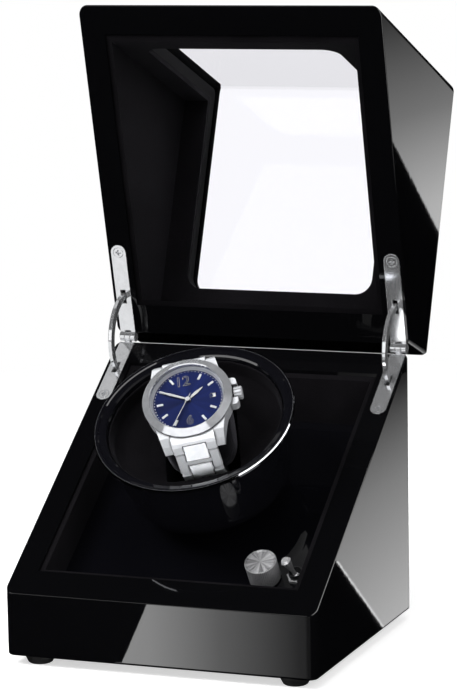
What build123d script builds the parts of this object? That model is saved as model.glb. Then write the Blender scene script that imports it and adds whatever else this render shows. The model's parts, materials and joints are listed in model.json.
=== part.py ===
from build123d import *
import math
import os

# Single watch winder box, lid open.  Millimetres, +Z up, the front faces -Y.
# The closed box is a rectangular block that a sloping plane parts into base and lid.

# ------------------------------------------------------------------ driving dimensions
# Box
width = 150.0
depth = 137.0
box_height = 153.5          # closed, without the feet
front_height = 29.5         # base wall at the front
rear_height = 124.0         # base wall at the back
wall = 12.0                 # thickness of the lacquered boards
rim_gap = 0.4               # between the two rims when closed
front_corner_radius = 4.5
rear_corner_radius = 3.0
top_rear_radius = 5.0
edge_radius = 1.2           # remaining long outer edges
rim_round = 0.5             # outer edges of both rims
bottom_thickness = 6.0
bottom_ledge = 5.0          # how far the bottom board reaches under each wall
lining_thickness = 2.5
lining_recess = 1.5         # velvet stops this far below the rim
fit_gap = 0.3               # clearance of parts let into the case

# Feet
foot_height = 4.5
foot_radius_top = 7.3
foot_radius_bottom = 5.0
foot_inset_x = 13.0
foot_inset_y = 10.0
foot_recess_radius = 2.9
foot_recess_depth = 2.3

# Lid hinge
lid_open_angle = 111.2
pivot_behind = 2.5          # pivot axis beyond the rear edge, along the slope
pivot_above = 0.6           # pivot axis above the parting plane
hinge_inset = 5.4           # hinge centre from the outer side face
plate_width = 8.0
plate_thickness = 1.8
base_plate_reach = 37.0     # rear edge to the centre of the rounded end
lid_plate_reach = 41.5
barrel_radius = 2.5
pin_radius = 1.0
knuckle_gap = 0.15
running_gap = 0.05
stay_radius = 21.0
stay_width = 1.8
stay_thickness = 2.6
stay_bulge = 1.3            # how much further out the stay's middle reaches
stay_room = 0.6             # pocket around the stay
stay_pin_radius = 1.0
stay_pin_length = 4.4
stay_follow = 0.2           # turn of the stay for each turn of the lid
stay_stop_gap = 0.1         # end pin to the leaf that stops it
slot_length = 7.0
hinge_screw_head = 2.5
hinge_screw_shank = 1.3
hinge_screw_length = 13.0

# Window
window_half_width = 48.0
window_rear_y = 42.0        # rear edge of the opening in the top
window_low = 52.0           # lower edge of the opening in the front, above the underside
window_corner = 8.0
window_lip = 3.5            # lacquered lip in front of the panel
window_overlap = 6.0
panel_thickness = 3.0
panel_bend = 3.0            # inner bend radius of the panel

# Platform and controls
platform_depth = 19.0       # below the parting plane
platform_thickness = 4.0
batten_size = 8.0
batten_front = 45.0         # front end, down the slope from the shaft
batten_rear_gap = 2.2543    # rear end to the back board, at the lower edge
knob_from_side = 26.0       # knob axis to the base's inner side
knob_from_front = 34.7      # knob axis to the inner front wall, up the slope
knob_radius = 7.4
knob_height = 11.0
knob_gap = 0.8
knob_shaft_radius = 3.0
shaft_bush_radius = 5.0
bush_flange = 1.0
clip_groove = 0.6
clip_drop = 0.8             # bracket to the clip
switch_radius = 8.0
switch_height = 12.0
bush_radius = 3.6
bush_stand = 3.0
toggle_from_knob = 14.6
toggle_behind_knob = 2.0
toggle_tilt = -18.0
toggle_length = 11.0
toggle_tip_radius = 2.5
toggle_ball_radius = 1.7
toggle_bush_radius = 3.3
toggle_bush_stand = 4.0
toggle_body_width = 6.4
toggle_body_length = 11.0
toggle_body_height = 9.0

# Turntable
table_height = 35.0         # flange face above the parting plane
flange_radius = 47.0
flange_thickness = 2.8
cup_mouth_radius = 41.6     # inner edge of the flange
cup_top_radius = 43.2       # outside of the cup under the flange
cup_low_radius = 39.6       # outside of the cup above the rounded bottom
cup_depth = 44.0            # flange face to the underside of the cup
cup_bottom_round = 13.0
cup_wall = 2.0
hub_radius = 9.0
hub_clearance = 2.0         # hub to platform
shaft_radius = 3.0
gear_module = 0.6
gear_teeth = 60
pinion_teeth = 12
gear_thickness = 5.0
gear_drop = 2.2             # gear below the platform
bracket_drop = 10.0         # bracket below the platform
bracket_thickness = 2.0
motor_radius = 12.0
gearbox_length = 10.0
motor_length = 22.0
motor_shaft_radius = 1.0
motor_boss_radius = 3.0

# Cup lining and its pocket
velvet = 1.2
pad_depth = 14.0            # flange face to the pad
pad_dish = 3.0

# Watch, in its own frame: z = 0 on the dial, +y to twelve, +x to three
watch_height = 10.7         # dial above the flange face
watch_turn = 20.3           # about the turntable axis
watch_tilt = 12.9           # twelve raised
case_radius = 20.3
case_top = 1.7
case_bottom = -6.5
caseback_radius = 15.5
caseback_thickness = 1.3
bezel_radius = 20.8
bezel_edge = 0.5            # upright edge of the bezel
bezel_top = 3.8
dial_radius = 17.2
dial_ring = 1.0             # width of the sloping ring around the dial
dial_thickness = 0.5
crystal_radius = 17.2
crystal_low = 2.0
marker_radius = 13.0
lug_span = 20.4             # between the lugs
lug_width = 3.4             # at the tip
lug_root = 7.6              # where the lug leaves the case
lug_reach = 24.4
crown_radius = 3.1
crown_length = 4.0
crown_gap = 0.6
link_thickness = 3.0
link_gap = 0.7              # between a centre link and the bars beside it
side_gap = 1.3              # between the ends of two side links
row_gap = 0.2               # between the rows
centre_width = 10.8
side_width = 4.2
bar_length = 2.2            # cross bar that joins two side links
links_per_side = 3
clasp_share = 1.0           # links that each half of the clasp takes the place of
clasp_width = 16.4
loop_half_width = 26.0      # bracelet loop, outside
loop_half_height = 22.5
loop_centre_z = -23.5
loop_rise = 45.0            # half height of the flatter oval above the centre
loop_step = 0.25            # degrees between the points that measure the oval
end_link_low = -7.3         # joint between the end link and the first link
hour_angle = 54.9
minute_angle = 299.0
second_angle = 211.0
cushion_half_width = 15.5
cushion_gap = 0.7
pocket_gap = 1.6

# DC inlet
jack_from_side = 23.0
jack_height = 22.0
jack_bore_radius = 2.85
jack_bore_depth = 9.5
jack_pin_radius = 1.05
jack_barrel_radius = 4.0
jack_flange_radius = 6.0
jack_flange_thickness = 1.2

# Control board
board_width = 42.0
board_depth = 38.0
board_thickness = 1.6
board_stand = 4.0
board_side_gap = 13.0       # to the base's right inner side
board_rear_gap = 40.5       # to the inner side of the back board
board_pillar_inset = 3.0

# ------------------------------------------------------------------ derived frames
slope_angle = math.degrees(math.atan2(rear_height - front_height, depth))
rim_length = math.hypot(depth, rear_height - front_height)
slope_sin = math.sin(math.radians(slope_angle))
slope_cos = math.cos(math.radians(slope_angle))
underside = foot_height
top = underside + box_height
front = -depth / 2
rear = depth / 2
inner_x = width / 2 - wall
platform_top = -platform_depth
platform_low = platform_top - platform_thickness
bracket_top = platform_low - bracket_drop
cup_low = table_height - cup_depth
hub_low = platform_top + hub_clearance
gear_top = platform_low - gear_drop
gear_radius = gear_module * gear_teeth / 2
pinion_radius = gear_module * pinion_teeth / 2
motor_x = -(gear_radius + pinion_radius)
hinge_x = width / 2 - hinge_inset
knob_x = inner_x - knob_from_side
inner_front_v = (front + wall - platform_depth * slope_sin) / slope_cos
knob_v = inner_front_v + knob_from_front
batten_low = platform_low - batten_size
batten_rear = (rear - wall + batten_low * slope_sin) / slope_cos - batten_rear_gap
toggle_x = knob_x + toggle_from_knob
toggle_v = knob_v + toggle_behind_knob
jack_x = jack_from_side - inner_x
shaft_low = bracket_top - bracket_thickness - 4.0
clip_top = bracket_top - bracket_thickness - clip_drop

# Angles of the stay about the pivot, from the base plate's direction
stop_offset = rim_gap / 2 + plate_thickness + stay_pin_radius + stay_stop_gap
stay_pin_low = math.degrees(math.asin((stop_offset + pivot_above) / stay_radius))
stay_pin_high = math.degrees(math.asin((stop_offset - pivot_above) / stay_radius))
stay_pin_span = math.degrees(stay_pin_radius / stay_radius) + 0.5
stay_low_end = stay_pin_low + stay_pin_span + stay_follow * lid_open_angle
stay_high_end = (
    lid_open_angle * (1 - stay_follow) + stay_pin_high + stay_pin_span
)

slope_normal = (0, -slope_sin, slope_cos)
# rim_frame: origin at the middle of the parting plane, y up the slope, z away from the base
rim_frame = Plane(
    origin=(0, 0, underside + (front_height + rear_height) / 2),
    x_dir=(1, 0, 0),
    z_dir=slope_normal,
)
pivot_v = rim_length / 2 + pivot_behind
pivot_frame = Plane(
    origin=rim_frame.from_local_coords((0, pivot_v, pivot_above)),
    x_dir=(1, 0, 0),
    z_dir=slope_normal,
)
lid_axis = Axis(pivot_frame.origin, (1, 0, 0))
watch_place = (
    rim_frame.location
    * Pos(0, 0, table_height + watch_height)
    * Rot(0, 0, watch_turn)
    * Rot(watch_tilt, 0, 0)
)
FAR = 4 * max(width, depth, box_height)

parts = {}


# ------------------------------------------------------------------ helpers
def on_rim(shape):
    """Place a shape that was drawn in the rim frame."""
    return rim_frame.location * shape


def on_pivot(shape):
    """Place a shape that was drawn about the lid's pivot axis."""
    return pivot_frame.location * shape


def opened(shape):
    """Turn a piece of the closed lid to its open position."""
    return shape.rotate(lid_axis, -lid_open_angle)


def block(x0, x1, y0, y1, z0, z1):
    """Box between two corners."""
    size = (x1 - x0, y1 - y0, z1 - z0)
    centre = ((x0 + x1) / 2, (y0 + y1) / 2, (z0 + z1) / 2)
    return Pos(*centre) * Box(*size)


def rod(radius, z0, z1, x=0.0, y=0.0):
    """Cylinder along z."""
    return Pos(x, y, (z0 + z1) / 2) * Cylinder(radius, z1 - z0)


def cross_rod(radius, x0, x1, y=0.0, z=0.0):
    """Cylinder along x."""
    return Pos((x0 + x1) / 2, y, z) * Rot(0, 90, 0) * Cylinder(radius, x1 - x0)


def turned(points):
    """Solid of revolution about z from (radius, z) points."""
    with BuildPart() as solid:
        with BuildSketch(Plane.XZ):
            with BuildLine():
                Polyline(*points, close=True)
            make_face()
        revolve(axis=Axis.Z)
    return solid.part


def profile_yz(points, x0, x1):
    """Prism along x from (y, z) points."""
    face = make_face(Polyline(*[(0, y, z) for y, z in points], close=True))
    return Pos(x0, 0, 0) * extrude(face, amount=x1 - x0, dir=(1, 0, 0))


def hex_nut(across_flats, bore, z0, z1, x, y):
    """Hexagonal nut along z."""
    outline = RegularPolygon(across_flats / 2, 6, major_radius=False)
    return Pos(x, y, z0) * extrude(outline, amount=z1 - z0) - rod(bore, z0 - 1, z1 + 1, x, y)


def countersunk_screw(head_radius, shank_radius, length):
    """Flat-head screw with its head's face at z = 0, pointing down, with a cross recess."""
    head_depth = head_radius - shank_radius
    screw = turned([
        (0, 0),
        (head_radius, 0),
        (head_radius, -0.3),
        (shank_radius, -0.3 - head_depth),
        (shank_radius, -length + shank_radius),
        (0, -length),
    ])
    arm = head_radius * 0.55
    slot = block(-arm, arm, -0.35, 0.35, -0.8, 1) + block(-0.35, 0.35, -arm, arm, -0.8, 1)
    return screw - slot


def screw_hole(head_radius, shank_radius, length):
    """The space that a countersunk screw takes, open upwards."""
    head_depth = head_radius - shank_radius
    return turned([
        (0, 1),
        (head_radius, 1),
        (head_radius, -0.3),
        (shank_radius, -0.3 - head_depth),
        (shank_radius, -length + shank_radius),
        (0, -length),
    ])


def below_plane(height):
    """Half space under a plane parallel to the parting plane."""
    return on_rim(block(-FAR, FAR, -FAR, FAR, -FAR, height))


def above_plane(height):
    """Half space over a plane parallel to the parting plane."""
    return on_rim(block(-FAR, FAR, -FAR, FAR, height, FAR))


# ------------------------------------------------------------------ case
def closed_block():
    """Outer form of the closed box."""
    solid = Pos(0, 0, underside + box_height / 2) * Box(width, depth, box_height)
    verticals = solid.edges().filter_by(Axis.Z).group_by(Axis.Y)
    solid = fillet(verticals[0], front_corner_radius)
    verticals = solid.edges().filter_by(Axis.Z).group_by(Axis.Y)
    solid = fillet(verticals[-1], rear_corner_radius)
    top_edges = solid.faces().sort_by(Axis.Z)[-1].edges()
    solid = fillet(top_edges, edge_radius)
    bottom_edges = solid.faces().sort_by(Axis.Z)[0].edges()
    solid = fillet(bottom_edges, edge_radius)
    profile = block(-width, width, front - wall, rear, underside - wall, top)
    rear_edge = profile.edges().filter_by(Axis.X).sort_by_distance((0, rear, top))[0]
    return solid & fillet(rear_edge, top_rear_radius)


def window_band(margin, near, far, outer_bend=0.0, inner_bend=0.0):
    """Bent band that follows the front and the top between two depths below the surface."""
    low = underside + window_low - margin
    back = window_rear_y + margin
    corner = (front + near, top - near)
    inner = (front + far, top - far)
    outline = Polyline(
        (0, front + near, low),
        (0, *corner),
        (0, back, top - near),
        (0, back, top - far),
        (0, *inner),
        (0, front + far, low),
        close=True,
    )
    half = window_half_width + margin
    solid = Pos(-half, 0, 0) * extrude(make_face(outline), amount=2 * half, dir=(1, 0, 0))
    for point, radius in ((corner, outer_bend), (inner, inner_bend)):
        if radius > 0:
            bends = solid.edges().filter_by(Axis.X)
            solid = fillet(bends.sort_by_distance((0, *point))[0], radius)
    low_corners = solid.edges().filter_by(Axis.Y).group_by(Axis.Z)[0]
    solid = fillet(low_corners, window_corner + margin)
    rear_corners = solid.edges().filter_by(Axis.Z).group_by(Axis.Y)[-1]
    return fillet(rear_corners, window_corner + margin)


def hinge_pockets(side_sign):
    """Everything that the two cases give up to one hinge, drawn about the pivot."""
    half = plate_width / 2
    base_z = -pivot_above - rim_gap / 2
    lid_z = -pivot_above + rim_gap / 2
    base_pocket = plate_outline(base_plate_reach, base_z - plate_thickness, base_z + 1)
    lid_pocket = plate_outline(lid_plate_reach, lid_z - 1, lid_z + plate_thickness)
    barrel = cross_rod(barrel_radius + 0.6, -half, half)
    across = stay_pin_length + stay_room
    radial = stay_thickness + 2 * (stay_bulge + stay_room)
    base_arc = stay_sector(across, radial, -stay_low_end - 3.0, 2.0)
    lid_arc = stay_sector(across, radial, -2.0, stay_high_end + 3.0)
    hole = screw_hole(hinge_screw_head, hinge_screw_shank, hinge_screw_length)
    base_screw = Pos(0, -(base_plate_reach + pivot_behind), base_z) * hole
    lid_screw = (
        Pos(0, -(lid_plate_reach + pivot_behind), lid_z)
        * Rot(180, 0, 0)
        * hole
    )
    place = Pos(side_sign * hinge_x, 0, 0)
    base_cut = place * (base_pocket + barrel + base_arc + base_screw)
    lid_cut = place * (lid_pocket + barrel + lid_arc + lid_screw)
    return on_pivot(base_cut), on_pivot(lid_cut)


def plate_outline(reach, z0, z1):
    """Hinge leaf outline: straight at the barrel, rounded at the far end."""
    half = plate_width / 2
    end_y = -(reach + pivot_behind)
    body = block(-half, half, end_y, 0, z0, z1)
    return body + rod(half, z0, z1, 0, end_y)


def stay_sector(across, radial, start, end):
    """Ring sector about the pivot; angles rise from the base plate towards the lid."""
    face = Rectangle(across, radial)
    start_face = Pos(0, -stay_radius, 0) * face
    start_face = start_face.rotate(Axis.X, -end)
    return revolve(start_face, axis=Axis.X, revolution_arc=end - start)


def stay_bar(start, end):
    """Curved stay, thickest in its middle; angles rise from the base plate."""
    def point(angle, radius):
        a = math.radians(angle)
        return (-radius * math.cos(a), radius * math.sin(a))

    inner = stay_radius - stay_thickness / 2
    outer = stay_radius + stay_thickness / 2
    middle = (start + end) / 2
    with BuildPart() as bar:
        with BuildSketch(Plane.YZ):
            with BuildLine():
                ThreePointArc(point(start, outer), point(middle, outer + stay_bulge),
                              point(end, outer))
                Line(point(end, outer), point(end, inner))
                ThreePointArc(point(end, inner), point(middle, inner), point(start, inner))
                Line(point(start, inner), point(start, outer))
            make_face()
        extrude(amount=stay_width / 2, both=True)
    return bar.part


def make_cases():
    """Boards of the base and the lid, cut from one block so that their faces line up."""
    solid = closed_block()
    cavity = block(
        -inner_x, inner_x, front + wall, rear - wall, underside - 1, top - wall
    )
    hinge_base_cut = []
    hinge_lid_cut = []
    for sign in (-1, 1):
        base_cut, lid_cut = hinge_pockets(sign)
        hinge_base_cut.append(base_cut)
        hinge_lid_cut.append(lid_cut)

    base = solid & below_plane(-rim_gap / 2)
    base = round_rim(base, -rim_gap / 2) - cavity
    for cut in hinge_base_cut:
        base -= cut
    base -= bottom_board_space()
    base -= Pos(jack_x, rear, underside + jack_height) * Rot(90, 0, 0) * Cylinder(
        jack_barrel_radius, 4 * wall
    )

    lid = solid & above_plane(rim_gap / 2)
    lid = round_rim(lid, rim_gap / 2) - cavity
    for cut in hinge_lid_cut:
        lid -= cut
    lid -= window_band(0, -1, wall + 1)
    lid -= window_band(window_overlap + fit_gap, window_lip, wall + 1)

    behind_front = front + wall
    before_rear = rear - wall
    regions = {
        "front": block(-FAR, FAR, -FAR, behind_front, -FAR, FAR),
        "back": block(-FAR, FAR, before_rear, FAR, -FAR, FAR),
        "left": block(-FAR, 0, behind_front, before_rear, -FAR, FAR),
        "right": block(0, FAR, behind_front, before_rear, -FAR, FAR),
    }
    under_top = block(-FAR, FAR, -FAR, FAR, -FAR, top - wall)
    parts["base_front_board"] = base & regions["front"]
    parts["base_back_board"] = base & regions["back"]
    parts["base_left_board"] = base & regions["left"]
    parts["base_right_board"] = base & regions["right"]

    parts["lid_front_board"] = opened(lid & regions["front"])
    parts["lid_top_board"] = opened(
        lid & block(-FAR, FAR, behind_front, FAR, top - wall, FAR)
    )
    parts["lid_back_board"] = opened(lid & regions["back"] & under_top)
    parts["lid_left_board"] = opened(lid & regions["left"] & under_top)
    parts["lid_right_board"] = opened(lid & regions["right"] & under_top)


def round_rim(solid, height):
    """Soften the outer edge of a rim."""
    middle = rim_frame.from_local_coords((0, 0, height))
    face = solid.faces().sort_by_distance(middle)[0]
    return fillet(face.outer_wire().edges(), rim_round)


def bottom_board_space():
    """Rebate for the bottom board."""
    half_x = inner_x + bottom_ledge
    half_y = depth / 2 - wall + bottom_ledge
    return block(
        -half_x, half_x, -half_y, half_y, underside - 1, underside + bottom_thickness
    )


def base_screw_places():
    """Bottom screws, half way along each edge of the bottom board."""
    x = inner_x + bottom_ledge / 2
    y = depth / 2 - wall + bottom_ledge / 2
    return [(0, -y), (0, y), (-x, 0), (x, 0)]


def foot_places():
    """Centres of the four feet."""
    x = width / 2 - foot_inset_x
    y = depth / 2 - foot_inset_y
    return [(sx * x, sy * y) for sx in (-1, 1) for sy in (-1, 1)]


def make_bottom():
    """Bottom board, feet and their screws."""
    half_x = inner_x + bottom_ledge - fit_gap
    half_y = depth / 2 - wall + bottom_ledge - fit_gap
    board = block(
        -half_x, half_x, -half_y, half_y, underside, underside + bottom_thickness
    )
    screw_length = bottom_thickness + 7.0
    foot_screw_length = bottom_thickness + 4.0
    flip = Rot(180, 0, 0)
    screws = []
    for x, y in base_screw_places():
        board -= Pos(x, y, underside) * flip * screw_hole(2.4, 1.3, screw_length)
        screws.append(Pos(x, y, underside) * flip * countersunk_screw(2.4, 1.3, screw_length))
    feet = []
    for x, y in foot_places():
        foot = turned([
            (0, 0),
            (foot_radius_bottom, 0),
            (foot_radius_bottom + 0.7, 0.5),
            (foot_radius_top, foot_height - 0.8),
            (foot_radius_top, foot_height),
            (0, foot_height),
        ])
        head_z = foot_recess_depth
        hole = flip * screw_hole(2.4, 1.3, foot_screw_length)
        foot -= rod(foot_recess_radius, -1, head_z) + Pos(0, 0, head_z) * hole
        feet.append(Pos(x, y, 0) * foot)
        board -= Pos(x, y, head_z) * hole
        screws.append(
            Pos(x, y, head_z) * flip * countersunk_screw(2.4, 1.3, foot_screw_length)
        )
    parts["base_bottom_board"] = board
    parts["rubber_feet"] = Compound(feet)
    parts["bottom_screws"] = Compound(screws)


def drill_walls():
    """Screw holes that run on from the bottom board into the walls."""
    flip = Rot(180, 0, 0)
    holes = [
        Pos(x, y, underside) * flip * screw_hole(2.4, 1.3, bottom_thickness + 7.0)
        for x, y in base_screw_places()
    ]
    holes += [
        Pos(x, y, foot_recess_depth) * flip * screw_hole(2.4, 1.3, bottom_thickness + 4.0)
        for x, y in foot_places()
    ]
    for name in ("front", "back", "left", "right"):
        key = "base_" + name + "_board"
        for hole in holes:
            parts[key] = parts[key] - hole


def inner_box(margin, low, high):
    """Space inside the walls, drawn in by a margin."""
    half_x = inner_x - margin
    half_y = depth / 2 - wall - margin
    return block(-half_x, half_x, -half_y, half_y, low, high)


def make_linings():
    """Velvet-covered linings of the base and the lid."""
    ring = inner_box(0, underside, top) - inner_box(lining_thickness, -FAR, FAR)
    slab = on_rim(block(-FAR, FAR, -FAR, FAR, platform_top, -lining_recess))
    parts["base_lining"] = ring & slab

    full = inner_box(0, underside, top - wall)
    hollow = inner_box(lining_thickness, -FAR, top - wall - lining_thickness)
    lining = (full - hollow) & above_plane(lining_recess)
    lining -= window_band(0, -1, wall + lining_thickness + 1)
    parts["lid_lining"] = opened(lining)


def make_window():
    """Bent clear panel and the frame that holds it in the lid's rebate."""
    near = window_lip
    far = near + panel_thickness
    panel = window_band(
        window_overlap, near, far, panel_bend + panel_thickness, panel_bend
    )
    parts["window_panel"] = opened(panel)
    frame = window_band(window_overlap, far, wall, panel_bend)
    frame -= window_band(0, -1, wall + 1)
    parts["window_retainer"] = opened(frame)


def make_platform():
    """Gloss platform inside the base, and the battens that carry it."""
    slab = on_rim(block(-FAR, FAR, -FAR, FAR, platform_low, platform_top))
    platform = inner_box(fit_gap, underside, top) & slab
    holes = [
        rod(shaft_bush_radius, platform_low - 1, platform_top + 1),
        rod(bush_radius, platform_low - 1, platform_top + 1, knob_x, knob_v),
        rod(toggle_bush_radius, platform_low - 1, platform_top + 1, toggle_x, toggle_v),
    ]
    for hole in holes:
        platform -= on_rim(hole)
    parts["platform_panel"] = platform

    battens = []
    for sign in (-1, 1):
        outer = sign * inner_x
        inner = sign * (inner_x - batten_size)
        battens.append(on_rim(block(
            min(outer, inner), max(outer, inner),
            -batten_front, batten_rear,
            batten_low, platform_low,
        )))
    parts["platform_battens"] = Compound(battens)


# ------------------------------------------------------------------ lid hinges
def hinge_leaf(reach, z0, knuckles):
    """Flat leaf with a rounded end, a slot for the stay and its knuckles."""
    z1 = z0 + plate_thickness
    end_y = -(reach + pivot_behind)
    start_y = -(barrel_radius + 0.75)
    half = plate_width / 2 - 0.1
    leaf = block(-half, half, end_y, start_y, z0, z1) + rod(half, z0, z1, 0, end_y)
    slot = stay_width / 2 + 0.4
    leaf -= block(
        -slot, slot,
        -stay_radius - slot_length / 2, -stay_radius + slot_length / 2,
        z0 - 1, z1 + 1,
    )
    for x0, x1 in knuckles:
        knuckle = cross_rod(barrel_radius, x0, x1) + block(x0, x1, start_y, 0, z0, z1)
        leaf += knuckle
    return leaf


def make_hinges():
    """Two stay hinges: leaves, pins, screws and the stays that limit the lid."""
    half = plate_width / 2 - 0.1
    middle = plate_width / 6
    base_z = -pivot_above - rim_gap / 2
    lid_z = -pivot_above + rim_gap / 2
    pin_hole = cross_rod(pin_radius + running_gap, -half - 1, half + 1)
    pin_seat = cross_rod(pin_radius, -half - 1, half + 1)
    base_leaf = hinge_leaf(
        base_plate_reach, base_z - plate_thickness, [(-middle, middle)]
    ) - pin_hole
    lid_leaf = hinge_leaf(
        lid_plate_reach, lid_z,
        [(-half, -middle - knuckle_gap), (middle + knuckle_gap, half)],
    ) - pin_seat
    base_screw_at = Pos(0, -(base_plate_reach + pivot_behind), base_z)
    lid_screw_at = Pos(0, -(lid_plate_reach + pivot_behind), lid_z) * Rot(180, 0, 0)
    hole = screw_hole(hinge_screw_head, hinge_screw_shank, hinge_screw_length)
    screw = countersunk_screw(hinge_screw_head, hinge_screw_shank, hinge_screw_length)
    base_leaf -= base_screw_at * hole
    lid_leaf -= lid_screw_at * hole
    stay = stay_bar(
        -stay_pin_low - stay_pin_span, lid_open_angle + stay_pin_high + stay_pin_span
    )
    for angle in (-stay_pin_low, lid_open_angle + stay_pin_high):
        cross_pin = cross_rod(
            stay_pin_radius, -stay_pin_length / 2, stay_pin_length / 2, -stay_radius
        )
        stay += cross_pin.rotate(Axis.X, -angle)

    base_leaves, lid_leaves, pins, base_screws, lid_screws = [], [], [], [], []
    for sign, side in ((-1, "left"), (1, "right")):
        place = Pos(sign * hinge_x, 0, 0)
        base_leaves.append(on_pivot(place * base_leaf))
        base_screws.append(on_pivot(place * base_screw_at * screw))
        lid_leaves.append(opened(on_pivot(place * lid_leaf)))
        pins.append(opened(on_pivot(place * cross_rod(pin_radius, -half, half))))
        lid_screws.append(opened(on_pivot(place * lid_screw_at * screw)))
        parts["hinge_stay_" + side] = on_pivot(place * stay)
    parts["hinge_base_plates"] = Compound(base_leaves)
    parts["hinge_base_screws"] = Compound(base_screws)
    parts["hinge_lid_plates"] = Compound(lid_leaves)
    parts["hinge_pins"] = Compound(pins)
    parts["hinge_lid_screws"] = Compound(lid_screws)


# ------------------------------------------------------------------ turntable and drive

def make_turntable():
    """Cup with its polished flange, velvet lining, shaft and driven gear."""
    face = table_height
    under = face - flange_thickness
    bend = cup_bottom_round
    outer_low = (cup_low_radius, cup_low + bend)
    with BuildPart() as cup:
        with BuildSketch(Plane.XZ):
            with BuildLine():
                Polyline(
                    (shaft_radius, hub_low),
                    (hub_radius, hub_low),
                    (hub_radius, cup_low),
                    (cup_low_radius - bend, cup_low),
                )
                ThreePointArc(
                    (cup_low_radius - bend, cup_low),
                    (
                        cup_low_radius - bend + bend * math.sin(math.radians(45)),
                        cup_low + bend - bend * math.cos(math.radians(45)),
                    ),
                    outer_low,
                )
                Polyline(
                    outer_low,
                    (cup_top_radius, under),
                    (flange_radius - 0.9, under),
                    (flange_radius, under + 0.7),
                    (flange_radius, face - 0.9),
                    (flange_radius - 0.3, face - 0.3),
                    (flange_radius - 1.1, face),
                    (flange_radius - 1.9, face - 0.2),
                    (flange_radius - 2.3, face - 0.7),
                    (cup_mouth_radius + 0.8, face - 1.5),
                    (cup_mouth_radius, face - 2.1),
                    (cup_mouth_radius - 0.3, face - 3.2),
                    (cup_low_radius - cup_wall, cup_low + bend),
                )
                ThreePointArc(
                    (cup_low_radius - cup_wall, cup_low + bend),
                    (
                        cup_low_radius - bend
                        + (bend - cup_wall) * math.sin(math.radians(45)),
                        cup_low + bend - (bend - cup_wall) * math.cos(math.radians(45)),
                    ),
                    (cup_low_radius - bend, cup_low + cup_wall),
                )
                Polyline(
                    (cup_low_radius - bend, cup_low + cup_wall),
                    (shaft_radius, cup_low + cup_wall),
                    (shaft_radius, hub_low),
                )
            make_face()
        revolve(axis=Axis.Z)
    parts["turntable_cup"] = on_rim(cup.part)

    shaft = rod(shaft_radius, shaft_low, cup_low + cup_wall)
    groove = rod(shaft_radius + 1, clip_top - clip_groove, clip_top)
    groove -= rod(shaft_radius - 0.6, clip_top - clip_groove, clip_top)
    parts["turntable_shaft"] = on_rim(shaft - groove)
    clip = rod(shaft_radius + 1.6, clip_top - clip_groove, clip_top)
    clip -= rod(shaft_radius - 0.6, clip_top - 1, clip_top + 1)
    clip -= block(0, 10, -1.6, 1.6, clip_top - 1, clip_top + 1)
    parts["shaft_clip"] = on_rim(clip)
    washer = rod(shaft_radius + 3.0, platform_top + bush_flange + 0.05, hub_low - 0.05)
    washer -= rod(shaft_radius + running_gap, platform_top, hub_low)
    parts["thrust_washer"] = on_rim(washer)


def gear_outline(teeth, tip, root, phase):
    """Straight-sided gear outline."""
    pitch = 360.0 / teeth
    points = []
    for tooth in range(teeth):
        centre = phase + tooth * pitch
        for radius, share in ((root, -0.31), (tip, -0.12), (tip, 0.12), (root, 0.31)):
            angle = math.radians(centre + share * pitch)
            points.append((radius * math.cos(angle), radius * math.sin(angle)))
    return make_face(Polyline(*points, close=True))


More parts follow.
